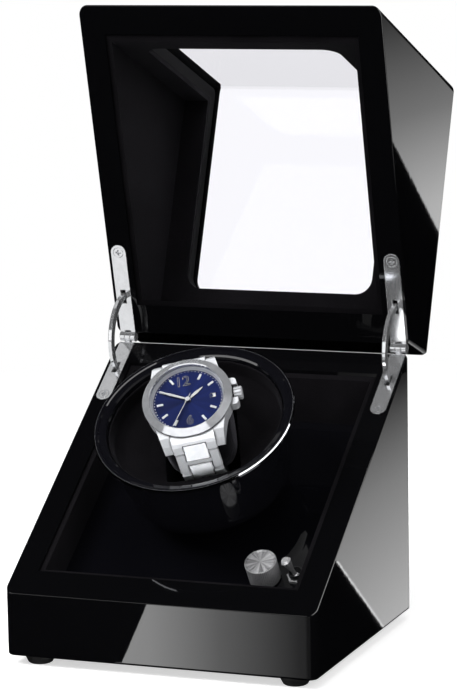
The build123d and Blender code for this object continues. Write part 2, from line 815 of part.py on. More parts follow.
def make_drive():
    """Gear pair, motor and the bracket that hangs under the platform."""
    add = 0.85 * gear_module
    ded = 1.15 * gear_module
    low = gear_top - gear_thickness
    gear = Pos(0, 0, low) * extrude(
        gear_outline(gear_teeth, gear_radius + add, gear_radius - ded, 180.0),
        amount=gear_thickness,
    )
    gear += rod(shaft_radius + 3.0, bracket_top + 0.9, low)
    for turn in range(6):
        gear -= Rot(0, 0, 60 * turn) * rod(3.2, low - 1, gear_top + 1, gear_radius * 0.6)
    gear -= rod(shaft_radius, bracket_top, gear_top + 1)
    parts["driven_gear"] = on_rim(gear)

    pinion = Pos(motor_x, 0, low) * extrude(
        gear_outline(pinion_teeth, pinion_radius + add, pinion_radius - ded,
                     180.0 / pinion_teeth),
        amount=gear_thickness,
    )
    pinion += rod(motor_shaft_radius, bracket_top - bracket_thickness - 3, low, motor_x)
    parts["motor_pinion"] = on_rim(pinion)

    back_x = gear_radius + 6.0
    bracket = block(
        motor_x - motor_radius - 4, back_x, -20, 20,
        bracket_top - bracket_thickness, bracket_top,
    )
    corners = bracket.edges().filter_by(Axis.Z)
    bracket = fillet(corners, 3.0)
    bracket -= rod(shaft_bush_radius - 0.6, -FAR, FAR)
    bracket -= rod(motor_boss_radius, -FAR, FAR, motor_x)
    standoffs, screws = [], []
    for x, y in standoff_places(back_x):
        bracket -= rod(1.5, -FAR, FAR, x, y)
        standoff = rod(3.0, bracket_top, platform_low, x, y)
        standoff -= rod(1.5, bracket_top - 1, bracket_top + 6, x, y)
        standoffs.append(on_rim(standoff))
        seat = bracket_top - bracket_thickness
        screw = rod(1.5, seat, bracket_top + 5, x, y) + rod(2.7, seat - 1.8, seat, x, y)
        screws.append(on_rim(screw))
    parts["motor_bracket"] = on_rim(bracket)
    parts["bracket_standoffs"] = Compound(standoffs)
    parts["bracket_screws"] = Compound(screws)

    seat = bracket_top - bracket_thickness
    gearbox = rod(motor_radius, seat - gearbox_length, seat, motor_x)
    gearbox += rod(motor_boss_radius, seat, bracket_top, motor_x)
    gearbox -= rod(
        motor_shaft_radius + running_gap, seat - 3.2, bracket_top + 1, motor_x
    )
    parts["motor_gearbox"] = on_rim(gearbox)
    can_top = seat - gearbox_length
    can = turned([
        (0, can_top),
        (motor_radius - 0.5, can_top),
        (motor_radius - 0.5, can_top - motor_length + 1.5),
        (motor_radius - 2.0, can_top - motor_length),
        (4.0, can_top - motor_length),
        (4.0, can_top - motor_length - 2.0),
        (0, can_top - motor_length - 2.0),
    ])
    parts["motor_can"] = on_rim(Pos(motor_x, 0, 0) * can)

    upper = rod(shaft_bush_radius, platform_low, platform_top)
    upper += rod(shaft_bush_radius + 2.0, platform_top, platform_top + bush_flange)
    lower = rod(shaft_bush_radius - 0.6, bracket_top - bracket_thickness, bracket_top)
    lower += rod(shaft_bush_radius + 0.9, bracket_top, bracket_top + 0.8)
    bore = rod(shaft_radius + running_gap, -FAR, FAR)
    parts["shaft_bushes"] = on_rim(Compound([(upper - bore), (lower - bore)]))


def standoff_places(back_x):
    """Bracket pillars, clear of both gears."""
    front_x = motor_x - motor_radius - 4
    return [
        (front_x + 5, -15), (front_x + 5, 15), (back_x - 4.5, -15), (back_x - 4.5, 15)
    ]


# ------------------------------------------------------------------ controls
def make_controls():
    """Mode switch with its knob, and the small toggle beside it."""
    low = platform_low
    body = rod(switch_radius, low - switch_height, low, knob_x, knob_v)
    body += rod(bush_radius, low, platform_top + bush_stand, knob_x, knob_v)
    bore = rod(
        knob_shaft_radius + running_gap, low - switch_height + 3,
        platform_top + bush_stand + 1, knob_x, knob_v,
    )
    parts["mode_switch"] = on_rim(body - bore)
    shaft_low_z = low - switch_height + 3.1
    knob_low = platform_top + knob_gap
    knob_top = knob_low + knob_height
    shaft_top = knob_top - 2.5
    parts["knob_shaft"] = on_rim(
        rod(knob_shaft_radius, shaft_low_z, shaft_top, knob_x, knob_v)
    )
    nut_top = platform_top + 1.8
    knob = turned([
        (0, knob_top - 0.35),
        (knob_radius - 1.3, knob_top - 0.35),
        (knob_radius - 1.0, knob_top),
        (knob_radius - 0.5, knob_top),
        (knob_radius, knob_top - 0.6),
        (knob_radius, knob_low),
        (knob_radius - 1.3, knob_low),
        (knob_radius - 1.3, nut_top + 2.2),
        (knob_shaft_radius, nut_top + 2.2),
        (knob_shaft_radius, shaft_top),
        (0, shaft_top),
    ])
    groove = block(-0.35, 0.35, 1.0, knob_radius - 1.5, knob_top - 0.8, knob_top + 1)
    knob -= Rot(0, 0, 30) * groove
    parts["mode_knob"] = on_rim(Pos(knob_x, knob_v, 0) * knob)

    x, v = toggle_x, toggle_v
    ball_z = platform_top + 1.0
    bush_top = platform_top + toggle_bush_stand
    half_x, half_v = toggle_body_width / 2, toggle_body_length / 2
    body = block(x - half_x, x + half_x, v - half_v, v + half_v, low - toggle_body_height, low)
    body += rod(toggle_bush_radius, low, bush_top, x, v)
    cone = Pos(x, v, 0) * turned([
        (0, ball_z - 2.2),
        (toggle_ball_radius + running_gap + 0.05, ball_z - 2.2),
        (toggle_ball_radius + running_gap + 0.05, ball_z + 0.3),
        (toggle_bush_radius - 0.5, bush_top + 0.1),
        (0, bush_top + 0.1),
    ])
    parts["toggle_switch"] = on_rim(body - cone)
    lever = Sphere(toggle_ball_radius) + Pos(0, 0, 0) * turned([
        (0, 0),
        (0.95, 0),
        (0.95, 3.4),
        (toggle_tip_radius - 0.5, toggle_length - 2.4),
        (toggle_tip_radius, toggle_length - 1.0),
        (toggle_tip_radius - 0.7, toggle_length),
        (0, toggle_length),
    ])
    parts["toggle_lever"] = on_rim(
        Pos(x, v, ball_z) * Rot(0, toggle_tilt, 0) * lever
    )
    nuts = [
        on_rim(hex_nut(9.0, bush_radius, platform_top, nut_top, knob_x, knob_v)),
        on_rim(hex_nut(8.0, toggle_bush_radius, platform_top, platform_top + 1.4, x, v)),
    ]
    inside = rear - wall
    jack_nut = hex_nut(11.0, jack_barrel_radius, 0, 2.0, 0, 0)
    nuts.append(Pos(jack_x, inside, underside + jack_height) * Rot(90, 0, 0) * jack_nut)
    parts["panel_nuts"] = Compound(nuts)


def make_inlet():
    """DC inlet in the back board and the control board on the floor."""
    length = wall + 5.0
    jack = rod(jack_barrel_radius, -length, 0)
    jack += rod(jack_flange_radius, 0, jack_flange_thickness)
    jack -= rod(jack_bore_radius, jack_flange_thickness - jack_bore_depth,
                jack_flange_thickness + 1)
    jack += rod(jack_pin_radius, jack_flange_thickness - jack_bore_depth - 0.5,
                jack_flange_thickness - 0.8)
    place = Pos(jack_x, rear, underside + jack_height) * Rot(-90, 0, 0)
    parts["dc_inlet"] = place * jack

    floor = underside + bottom_thickness
    x0 = inner_x - board_side_gap - board_width
    y0 = rear - wall - board_rear_gap - board_depth
    low = floor + board_stand
    high = low + board_thickness
    board = block(x0, x0 + board_width, y0, y0 + board_depth, low, high)
    for x in (x0 + board_pillar_inset, x0 + board_width - board_pillar_inset):
        for y in (y0 + board_pillar_inset, y0 + board_depth - board_pillar_inset):
            board += rod(2.0, floor, low, x, y)
    board += block(x0 + 14, x0 + 26, y0 + 12, y0 + 24, high, high + 2.4)
    board += block(x0 + 30, x0 + 38, y0 + 6, y0 + 18, high, high + 6.4)
    board += rod(2.5, high, high + 7.4, x0 + 8, y0 + 28)
    parts["control_board"] = board


# ------------------------------------------------------------------ watch
def loop_point(angle, inset):
    """Point of the bracelet's oval in the watch's y-z plane; angle 0 is at the bottom."""
    a = loop_half_width - inset
    t = math.radians(angle)
    b = loop_half_height - inset if math.cos(t) > 0 else loop_rise
    return a * math.sin(t), loop_centre_z - b * math.cos(t)


def loop_angle(length):
    """Angle on the oval at a distance along its middle from its lowest point."""
    middle = link_thickness / 2
    angle, travelled = 0.0, 0.0
    last = loop_point(0, middle)
    while travelled < length:
        angle += loop_step
        point = loop_point(angle, middle)
        travelled += math.dist(point, last)
        last = point
    return angle


def loop_length(height):
    """Distance along the oval's middle from its lowest point up to a height."""
    middle = link_thickness / 2
    angle, travelled = 0.0, 0.0
    last = loop_point(0, middle)
    while last[1] < height:
        angle += loop_step
        point = loop_point(angle, middle)
        travelled += math.dist(point, last)
        last = point
    return travelled


def on_loop(length, side, shape):
    """Set a shape tangent to the oval; +y in the shape climbs towards the case."""
    angle = loop_angle(length)
    y, z = loop_point(angle, link_thickness / 2)
    ahead_y, ahead_z = loop_point(angle + loop_step, link_thickness / 2)
    slope = math.degrees(math.atan2(ahead_z - z, ahead_y - y))
    return Pos(0, side * y, z) * Rot(side * slope, 0, 0) * Rot(0, 0, 90 - 90 * side) * shape


def link_bar(width_x, centre_x, length, thickness):
    """One bar of a link with softened long edges."""
    bar = Pos(centre_x, 0, 0) * Box(width_x, length, thickness)
    return chamfer(bar.edges().filter_by(Axis.Y), 0.4)


def side_link(share):
    """Two side bars joined by a cross bar; share narrows it towards the clasp."""
    length = link_pitch - side_gap
    reach = (centre_width / 2 + row_gap + side_width / 2) * share
    link = link_bar(side_width * share, -reach, length, link_thickness - 0.2)
    link += link_bar(side_width * share, reach, length, link_thickness - 0.2)
    cross = 2 * reach - side_width * share + 0.8
    return link + Box(cross, bar_length, link_thickness - 0.6)


joint_length = loop_length(end_link_low)
link_pitch = joint_length / (links_per_side + clasp_share)


def make_bracelet():
    """Steel bracelet around the cushion, with its clasp underneath."""
    centre_length = link_pitch - bar_length - 2 * link_gap
    sides, centre = [], []
    for side in (-1, 1):
        for index in range(links_per_side):
            share = 1.0 - 0.03 * index
            at = joint_length - index * link_pitch
            centre.append(watch_place * on_loop(at, side, link_bar(
                centre_width * share, 0, centre_length, link_thickness
            )))
            at -= link_pitch / 2
            sides.append(watch_place * on_loop(at, side, side_link(share)))
        sides.append(watch_place * end_link(side))
    parts["bracelet_side_links"] = Compound(sides)
    parts["bracelet_centre_links"] = Compound(centre)
    reach = loop_angle(clasp_share * link_pitch - link_gap)
    parts["bracelet_clasp"] = watch_place * clasp_shell(reach)


def end_link(side):
    """Piece between the lugs; its slot takes the first centre link."""
    y, low = loop_point(loop_angle(joint_length + side_gap / 2), link_thickness / 2)
    half = link_thickness / 2
    profile = [
        (case_radius - 4.0, case_top - 0.8),
        (case_radius + 0.6, case_top - 0.9),
        (case_radius + 2.1, case_top - 2.3),
        (y + half - 0.8, low + 4.0),
        (y + half, low),
        (y - half, low),
        (case_radius - 0.5, case_bottom + 1.0),
        (case_radius - 4.0, case_bottom + 1.0),
    ]
    half_x = lug_span / 2 - row_gap
    piece = profile_yz([(side * py, z) for py, z in profile], -half_x, half_x)
    piece -= rod(case_radius + 0.15, low - 1, case_top + 1)
    slot = centre_width / 2 + row_gap
    slot_top = loop_point(
        loop_angle(joint_length + (link_pitch - bar_length) / 2), link_thickness / 2
    )[1]
    return piece - block(-slot, slot, -FAR, FAR, -FAR, slot_top)


def clasp_shell(reach):
    """Curved folding clasp, as a strip of the oval."""
    outer = [loop_point(angle, 0) for angle in (-reach, -reach / 2, 0, reach / 2, reach)]
    inner = [
        loop_point(angle, link_thickness)
        for angle in (-reach, -reach / 2, 0, reach / 2, reach)
    ]
    with BuildPart() as clasp:
        with BuildSketch(Plane.YZ):
            with BuildLine():
                ThreePointArc(outer[0], outer[1], outer[2])
                ThreePointArc(outer[2], outer[3], outer[4])
                Line(outer[4], inner[4])
                ThreePointArc(inner[4], inner[3], inner[2])
                ThreePointArc(inner[2], inner[1], inner[0])
                Line(inner[0], outer[0])
            make_face()
        extrude(amount=clasp_width / 2, both=True)
    return clasp.part


def make_watch():
    """Case, bezel, crystal, dial, hands, crown and case back."""
    case = rod(case_radius, case_bottom, case_top)
    case = chamfer(case.edges().sort_by(Axis.Z)[0], 1.2)
    lug = [
        (8.0, case_top - 0.2), (case_radius - 1.0, case_top - 0.5),
        (lug_reach - 2.2, -1.8), (lug_reach, -4.9), (lug_reach - 0.8, -6.3),
        (case_radius + 1.0, -5.4), (case_radius - 3.5, case_bottom + 1.2),
        (8.0, case_bottom + 1.2),
    ]
    root = lug_span / 2 + lug_root
    plan = make_face(Polyline(
        (lug_span / 2, 8.0), (root, 8.0), (root - 2.0, 14.5),
        (lug_span / 2 + lug_width, lug_reach + 1.0), (lug_span / 2, lug_reach + 1.0),
        close=True,
    ))
    plan = Pos(0, 0, case_bottom) * extrude(plan, amount=case_top - case_bottom)
    for sx in (-1, 1):
        x0 = sx * lug_span / 2
        x1 = sx * (root + 1.0)
        for sy in (-1, 1):
            side = profile_yz([(sy * y, z) for y, z in lug], min(x0, x1), max(x0, x1))
            outline = plan.mirror(Plane.YZ) if sx < 0 else plan
            outline = outline.mirror(Plane.XZ) if sy < 0 else outline
            case += side & outline
    guard = block(case_radius - 3, case_radius + 2.6, -7.2, 7.2, case_bottom + 2.0, 0.2)
    guard = fillet(guard.edges().filter_by(Axis.Z).group_by(Axis.X)[-1], 1.8)
    guard -= block(case_radius + 0.2, FAR, -3.6, 3.6, -FAR, FAR)
    case += guard
    case -= rod(dial_radius, -dial_thickness - 3.0, case_top + 1)
    crown_z = (case_bottom + case_top) / 2
    case -= cross_rod(0.9 + running_gap, case_radius - 3, case_radius + 4, 0, crown_z)
    parts["watch_case"] = watch_place * case

    movement = rod(dial_radius, -dial_thickness - 3.0, -dial_thickness)
    dial = rod(dial_radius, -dial_thickness, 0)
    window = block(marker_radius - 1.6, marker_radius + 1.0, -1.1, 1.1, -0.25, 1)
    dial = (dial + movement - window) - rod(0.5, -2, 1)
    markers = []
    for hour in range(12):
        if hour in (0, 3, 6):
            continue
        bar = Pos(0, marker_radius, 0.2) * Box(1.0, 3.0, 0.4)
        markers.append(watch_place * Rot(0, 0, -30 * hour) * bar)
    rim = turned([
        (dial_radius - dial_ring, 0),
        (dial_radius, 0),
        (dial_radius, crystal_low - 0.4),
        (dial_radius - 0.3, crystal_low - 0.4),
        (dial_radius - dial_ring, 0.3),
    ])
    parts["watch_dial"] = Compound([watch_place * dial, watch_place * rim] + markers)

    bezel = turned([
        (crystal_radius, case_top),
        (bezel_radius, case_top),
        (bezel_radius, case_top + bezel_edge),
        (crystal_radius + 0.5, bezel_top),
        (crystal_radius, bezel_top - 0.3),
    ])
    parts["watch_bezel"] = watch_place * bezel
    crystal = turned([
        (0, crystal_low),
        (crystal_radius, crystal_low),
        (crystal_radius, bezel_top - 0.3),
        (crystal_radius - 1.0, bezel_top),
        (0, bezel_top + 0.25),
    ])
    parts["watch_crystal"] = watch_place * crystal
    back = rod(caseback_radius, case_bottom - caseback_thickness, case_bottom)
    parts["watch_case_back"] = watch_place * chamfer(back.edges().sort_by(Axis.Z)[0], 0.5)

    grip = cross_rod(
        crown_radius, case_radius + crown_gap, case_radius + crown_gap + crown_length,
        0, crown_z,
    )
    grip = chamfer(grip.edges().filter_by(GeomType.CIRCLE), 0.35)
    for turn in range(12):
        notch = cross_rod(0.28, case_radius, case_radius + 8, crown_radius, 0)
        grip -= Pos(0, 0, crown_z) * notch.rotate(Axis.X, 30 * turn)
    stem = cross_rod(0.9, case_radius - 1.4, case_radius + crown_gap + 1, 0, crown_z)
    parts["watch_crown"] = watch_place * (grip + stem)

    hands = (
        ("hour_hand", hour_angle, 9.2, 1.5, 0.35, 0.6),
        ("minute_hand", minute_angle, 14.6, 1.2, 0.75, 1.0),
        ("second_hand", second_angle, 15.7, 0.35, 1.15, 1.35),
    )
    for name, angle, length, width_mid, low, high in hands:
        outline = [
            (-width_mid * 0.3, -3.2 if name == "second_hand" else -1.6),
            (width_mid * 0.3, -3.2 if name == "second_hand" else -1.6),
            (width_mid / 2, length * 0.6),
            (0.12, length),
            (-0.12, length),
            (-width_mid / 2, length * 0.6),
        ]
        face = make_face(Polyline(*outline, close=True))
        hand = Pos(0, 0, low) * (extrude(face, amount=high - low) + rod(1.1, 0, high - low))
        parts[name] = watch_place * Rot(0, 0, -angle) * hand


def cushion_section(x, scale):
    """Oval section of the cushion, flattened under the watch case."""
    inset = link_thickness + cushion_gap
    a = (loop_half_width - inset) * scale
    b = (loop_half_height - inset) * scale
    cz = loop_centre_z
    flat = case_bottom - caseback_thickness - cushion_gap
    high = cz + (flat - cz) * scale
    shoulder = a * 0.62
    with BuildSketch(Plane.YZ.offset(x)) as sketch:
        with BuildLine():
            s = math.sin(math.radians(45))
            ThreePointArc((0, cz - b), (a * s, cz - b * s), (a, cz))
            ThreePointArc(
                (a, cz), ((a * 0.92 + shoulder * 0.08), cz + (high - cz) * 0.55),
                (shoulder, high),
            )
            Line((shoulder, high), (-shoulder, high))
            ThreePointArc(
                (-shoulder, high), (-(a * 0.92 + shoulder * 0.08), cz + (high - cz) * 0.55),
                (-a, cz),
            )
            ThreePointArc((-a, cz), (-a * s, cz - b * s), (0, cz - b))
        make_face()
    return sketch.sketch


def make_cushion():
    """Suede cushion that the bracelet is closed around; its ends are drawn in."""
    shares = ((-1.0, 0.72), (-0.8, 0.93), (0.0, 1.0), (0.8, 0.93), (1.0, 0.72))
    sections = [cushion_section(cushion_half_width * x, scale) for x, scale in shares]
    cushion = loft(sections)
    parts["watch_cushion"] = watch_place * cushion


def make_cup_lining():
    """Velvet sleeve and pad of the cup, with the pocket for cushion and bracelet."""
    pad_top = table_height - pad_depth
    sleeve_top = table_height - 3.4
    slope = (cup_mouth_radius - 0.3 - (cup_low_radius - cup_wall)) / (
        sleeve_top - cup_low - cup_bottom_round
    )
    gap = 0.1

    def wall_at(z):
        return cup_low_radius - cup_wall - gap + slope * (z - cup_low - cup_bottom_round)

    floor = cup_low + cup_wall + gap
    low = cup_low + cup_bottom_round
    body = turned([
        (0, floor),
        (cup_low_radius - cup_bottom_round, floor),
        (cup_low_radius - cup_wall - 3.2, floor + 3.6),
        (wall_at(low) - 0.2, low),
        (wall_at(sleeve_top), sleeve_top),
        (wall_at(sleeve_top) - velvet, sleeve_top),
        (wall_at(pad_top + 4) - velvet, pad_top + 4),
        (wall_at(pad_top) - velvet - 3, pad_top + 0.8),
        (24, pad_top - pad_dish),
        (0, pad_top - pad_dish),
    ])
    pocket = pocket_space()
    tilt = Rot(0, 0, watch_turn) * Rot(watch_tilt, 0, 0)
    place = Pos(0, 0, table_height + watch_height) * tilt
    parts["cup_lining"] = on_rim(body - place * pocket)


def pocket_space():
    """Clearance around the bracelet loop and the cushion, open upwards."""
    a = loop_half_width + pocket_gap
    b = loop_half_height + pocket_gap
    half_x = cushion_half_width + pocket_gap
    oval = extrude(Plane.YZ * Ellipse(a, b), amount=half_x, both=True)
    oval = Pos(0, 0, loop_centre_z) * oval
    chimney = block(-half_x, half_x, -a, a, loop_centre_z, 40)
    return oval + chimney


# ------------------------------------------------------------------ build and write
make_cases()
make_bottom()
drill_walls()
make_linings()
make_window()
make_platform()
make_hinges()
make_turntable()
make_drive()
make_controls()
make_inlet()
make_watch()
make_bracelet()
make_cushion()
make_cup_lining()

# The origin is the middle of the open box's footprint, on the surface it stands on
reach_y = [shape.bounding_box() for shape in parts.values()]
middle_y = (min(b.min.Y for b in reach_y) + max(b.max.Y for b in reach_y)) / 2
os.makedirs("parts", exist_ok=True)
for name, shape in parts.items():
    moved = Pos(0, -middle_y, 0) * shape
    export_step(moved, os.path.join("parts", name + ".step"))
print("nodes", len(parts), "shift in y", round(-middle_y, 4))
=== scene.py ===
import json
import math

import bmesh
import bpy
from mathutils import Matrix, Vector


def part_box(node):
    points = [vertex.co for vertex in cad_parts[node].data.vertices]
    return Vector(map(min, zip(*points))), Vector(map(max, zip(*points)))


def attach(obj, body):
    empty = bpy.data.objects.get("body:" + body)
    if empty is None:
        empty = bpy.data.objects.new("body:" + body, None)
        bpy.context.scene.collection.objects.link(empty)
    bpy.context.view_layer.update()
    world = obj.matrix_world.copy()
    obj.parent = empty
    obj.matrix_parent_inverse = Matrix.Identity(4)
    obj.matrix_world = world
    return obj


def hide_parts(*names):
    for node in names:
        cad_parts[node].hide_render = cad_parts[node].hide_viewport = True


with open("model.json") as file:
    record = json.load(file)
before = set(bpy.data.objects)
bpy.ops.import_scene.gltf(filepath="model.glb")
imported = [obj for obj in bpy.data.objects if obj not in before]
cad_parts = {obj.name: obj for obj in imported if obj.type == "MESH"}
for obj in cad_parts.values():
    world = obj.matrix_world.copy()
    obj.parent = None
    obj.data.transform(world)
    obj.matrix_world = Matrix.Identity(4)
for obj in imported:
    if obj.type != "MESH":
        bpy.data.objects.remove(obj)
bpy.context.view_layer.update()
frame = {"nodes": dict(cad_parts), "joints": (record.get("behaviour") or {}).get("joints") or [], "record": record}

# Watch winder box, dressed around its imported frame.  Lengths here are in metres;
# MM turns millimetres into metres.
MM = 0.001
NODES = frame["nodes"]
JOINTS = {joint["name"]: joint for joint in frame["joints"]}
SLOTS = {row["node"]: row["material_slot"] for row in frame["record"]["subparts"]}


# ------------------------------------------------------------------ places from the frame
def frame_at(origin, normal, across):
    """Matrix of a local frame with its z along normal and its x along across."""
    z = Vector(normal).normalized()
    x = Vector(across).normalized()
    y = z.cross(x)
    turn = Matrix((x, y, z)).transposed().to_4x4()
    return Matrix.Translation(Vector(origin)) @ turn


def joint_frame(name, across=(1, 0, 0)):
    """Local frame with its z along a joint's axis."""
    return frame_at(JOINTS[name]["pos_m"], JOINTS[name]["axis"], across)


RIM = joint_frame("turntable_spin")
DIAL = joint_frame("minute_turn", JOINTS["crown_turn"]["axis"])
KNOB = joint_frame("knob_turn")
SIDE_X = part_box("base_right_board")[1].x
FRONT_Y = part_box("base_front_board")[0].y


def placed(name, data):
    """New object in the scene for a mesh, curve, lamp or camera."""
    made = bpy.data.objects.new(name, data)
    bpy.context.scene.collection.objects.link(made)
    return made


# ------------------------------------------------------------------ material helpers
class Graph:
    """A node material or world with short calls for what most of them need."""

    def __init__(self, name, world=False, **inputs):
        made = bpy.data.worlds if world else bpy.data.materials
        self.material = made.new(name)
        self.material.use_nodes = True
        self.tree = self.material.node_tree
        self.shader = self.tree.nodes["Background" if world else "Principled BSDF"]
        for key, value in inputs.items():
            self.set(key.replace("_", " "), value)

    def feed(self, node, key, value):
        """Link or set one input of a node, by its name or number; a colour may lack its alpha."""
        socket = node.inputs[key]
        if hasattr(value, "links"):
            self.tree.links.new(value, socket)
        elif socket.type == "RGBA" and len(value) == 3:
            socket.default_value = (*value, 1.0)
        else:
            socket.default_value = value

    def set(self, key, value):
        """Link or set one input of the surface or the background."""
        self.feed(self.shader, key, value)

    def node(self, kind, *feeds, **settings):
        """New node with its settings, and with its inputs from (key, value) pairs."""
        made = self.tree.nodes.new(kind)
        for key, value in settings.items():
            setattr(made, key, value)
        for key, value in feeds:
            self.feed(made, key, value)
        return made

    def mapped(self, source, *feeds, kind="POINT"):
        """A vector moved, turned or stretched."""
        made = self.node("ShaderNodeMapping", ("Vector", source), *feeds, vector_type=kind)
        return made.outputs["Vector"]

    def coordinates(self, matrix=None, stretch=None):
        """Object coordinates in metres, in a local frame, stretched per axis."""
        source = self.node("ShaderNodeTexCoord").outputs["Object"]
        if matrix is not None:
            back = matrix.inverted()
            source = self.mapped(
                source, ("Rotation", back.to_euler()), ("Location", back.to_translation())
            )
        if stretch is not None:
            source = self.mapped(source, ("Scale", stretch))
        return source

    def noise(self, scale, detail=3.0, roughness=0.5, vector=None):
        """Noise level whose largest waves are about 1 / scale long."""
        made = self.node(
            "ShaderNodeTexNoise",
            ("Vector", self.coordinates() if vector is None else vector),
            ("Scale", scale), ("Detail", detail), ("Roughness", roughness),
        )
        return made.outputs["Fac"]

    def ramp(self, factor, *stops):
        """Colour ramp from (place, colour or level) stops."""
        made = self.node("ShaderNodeValToRGB", ("Fac", factor))
        elements = made.color_ramp.elements
        while len(elements) < len(stops):
            elements.new(0.5)
        for element, (place, colour) in zip(elements, stops):
            if not hasattr(colour, "__len__"):
                colour = (colour, colour, colour)
            element.position = place
            element.color = (*colour, 1.0)
        return made.outputs["Color"]

    def remap(self, factor, low, high, from_low=0.0, from_high=1.0, smooth=False):
        """A level carried from one range to another and kept within it."""
        made = self.node(
            "ShaderNodeMapRange",
            ("Value", factor), ("From Min", from_low), ("From Max", from_high),
            ("To Min", low), ("To Max", high),
            interpolation_type="SMOOTHSTEP" if smooth else "LINEAR",
        )
        return made.outputs["Result"]

    def maths(self, operation, first, second=0.0):
        """One arithmetic step."""
        made = self.node("ShaderNodeMath", (0, first), (1, second), operation=operation)
        return made.outputs["Value"]

    def length(self, x, y):
        """Length of a flat vector from its two parts."""
        squares = self.maths("ADD", self.maths("MULTIPLY", x, x), self.maths("MULTIPLY", y, y))
        return self.maths("SQRT", squares)

    def mix(self, factor, first, second):
        """Mix of two colours."""
        made = self.node("ShaderNodeMix", (0, factor), (6, first), (7, second), data_type="RGBA")
        return made.outputs[2]

    def dot(self, vector, direction):
        """How far a vector points in a direction."""
        unit = Vector(direction).normalized()
        made = self.node("ShaderNodeVectorMath", (0, vector), (1, unit), operation="DOT_PRODUCT")
        return made.outputs["Value"]

    def split(self, vector):
        """The three parts of a vector."""
        made = self.node("ShaderNodeSeparateXYZ", ("Vector", vector))
        return made.outputs["X"], made.outputs["Y"], made.outputs["Z"]

    def flat(self, x, y):
        """Flat vector from its two parts."""
        return self.node("ShaderNodeCombineXYZ", ("X", x), ("Y", y)).outputs["Vector"]

    def polar(self, matrix):
        """Radius, angle and height in a local frame."""
        x, y, z = self.split(self.coordinates(matrix))
        return self.length(x, y), self.maths("ARCTAN2", y, x), z

    def around(self, angle):
        """Vector that goes round once with an angle, so that noise on it has no seam."""
        return self.flat(self.maths("SINE", angle), self.maths("COSINE", angle))

    def seen_straight(self):
        """One for a camera ray, also through clear panes, and nothing after a mirror."""
        path = self.node("ShaderNodeLightPath").outputs
        straight = self.maths("LESS_THAN", path["Glossy Depth"], 0.5)
        through = self.maths("MULTIPLY", path["Is Transmission Ray"], straight)
        return self.maths("MAXIMUM", path["Is Camera Ray"], through)

    def bump(self, height, distance, strength=1.0, normal=None):
        """Surface direction from a height level, on top of another one where that is given."""
        feeds = [("Height", height), ("Distance", distance), ("Strength", strength)]
        if normal is not None:
            feeds.append(("Normal", normal))
        return self.node("ShaderNodeBump", *feeds).outputs["Normal"]


# ------------------------------------------------------------------ materials
def lacquer():
    """Black piano lacquer: a mirror with the faintest waviness and haze."""
    g = Graph("lacquer", Base_Color=(0.0022, 0.0022, 0.0026), IOR=1.5)
    g.set("Roughness", g.remap(g.noise(60, 4), 0.015, 0.045))
    g.set("Normal", g.bump(g.noise(220, 2), 0.02 * MM, 0.35))
    return g.material


def board_paint():
    """Matt black paint over board."""
    g = Graph("board_paint", IOR=1.45)
    grain = g.noise(900, 4)
    g.set("Base Color", g.ramp(grain, (0.3, 0.010), (0.7, 0.018)))
    g.set("Roughness", g.remap(g.noise(40), 0.55, 0.75))
    g.set("Normal", g.bump(grain, 0.06 * MM, 0.6))
    return g.material


def velvet(name, dark, light, sheen):
    """Short-pile velvet: fine pile, brushed patches and a soft sheen at grazing angles."""
    g = Graph(name, IOR=1.3, Specular_IOR_Level=0.15)
    patches = g.noise(28, 3, 0.55)
    pile = g.noise(3200, 2, 0.6)
    nap = g.noise(700, 3, 0.6)
    tone = g.maths("ADD", g.maths("MULTIPLY", patches, 0.55), g.maths("MULTIPLY", pile, 0.45))
    g.set("Base Color", g.ramp(tone, (0.32, dark), (0.68, light)))
    g.set("Roughness", g.remap(nap, 0.85, 1.0))
    g.set("Sheen Weight", sheen)
    g.set("Sheen Roughness", 0.38)
    g.set("Sheen Tint", (0.72, 0.70, 0.80))
    soft = g.bump(nap, 0.25 * MM, 0.5)
    g.set("Normal", g.bump(pile, 0.12 * MM, 0.7, soft))
    return g.material


def gloss_plastic(name, colour, rough):
    """Polished plastic with slight moulding waviness."""
    g = Graph(name, Base_Color=colour, IOR=1.5)
    g.set("Roughness", g.remap(g.noise(90, 3), rough * 0.6, rough * 1.5))
    g.set("Normal", g.bump(g.noise(160, 2), 0.02 * MM, 0.25))
    return g.material


def satin_plastic(name, colour, rough=0.45):
    """Moulded plastic with a fine texture."""
    g = Graph(name, IOR=1.46)
    texture = g.noise(2600, 3, 0.6)
    light = tuple(min(1.0, 1.25 * level) for level in colour)
    g.set("Base Color", g.ramp(g.noise(120), (0.35, colour), (0.65, light)))
    g.set("Roughness", g.remap(texture, rough * 0.85, rough * 1.2))
    g.set("Normal", g.bump(texture, 0.05 * MM, 0.5))
    return g.material


def rubber():
    """Matt black rubber with a dusty bloom."""
    g = Graph("foot_rubber", IOR=1.5)
    bloom = g.noise(260, 4, 0.6)
    g.set("Base Color", g.ramp(bloom, (0.35, 0.008), (0.7, 0.02)))
    g.set("Roughness", g.remap(bloom, 0.55, 0.8))
    g.set("Normal", g.bump(g.noise(3000, 2), 0.05 * MM, 0.6))
    return g.material


def plated(name, colour=(0.80, 0.81, 0.83), rough=0.08, metal=1.0, edge=0.0):
    """Bright plating with faint polishing haze; edge is the radius its edges are shaded to."""
    g = Graph(name, Metallic=metal)
    dull = tuple(0.93 * level for level in colour)
    g.set("Base Color", g.ramp(g.noise(300, 3), (0.35, dull), (0.65, colour)))
    g.set("Roughness", g.remap(g.noise(1200, 3, 0.6), rough * 0.6, rough * 1.6))
    rounded = None
    if edge:
        rounded = g.node("ShaderNodeBevel", ("Radius", edge), samples=6).outputs["Normal"]
    g.set("Normal", g.bump(g.noise(500, 2), 0.01 * MM, 0.3, rounded))
    return g.material


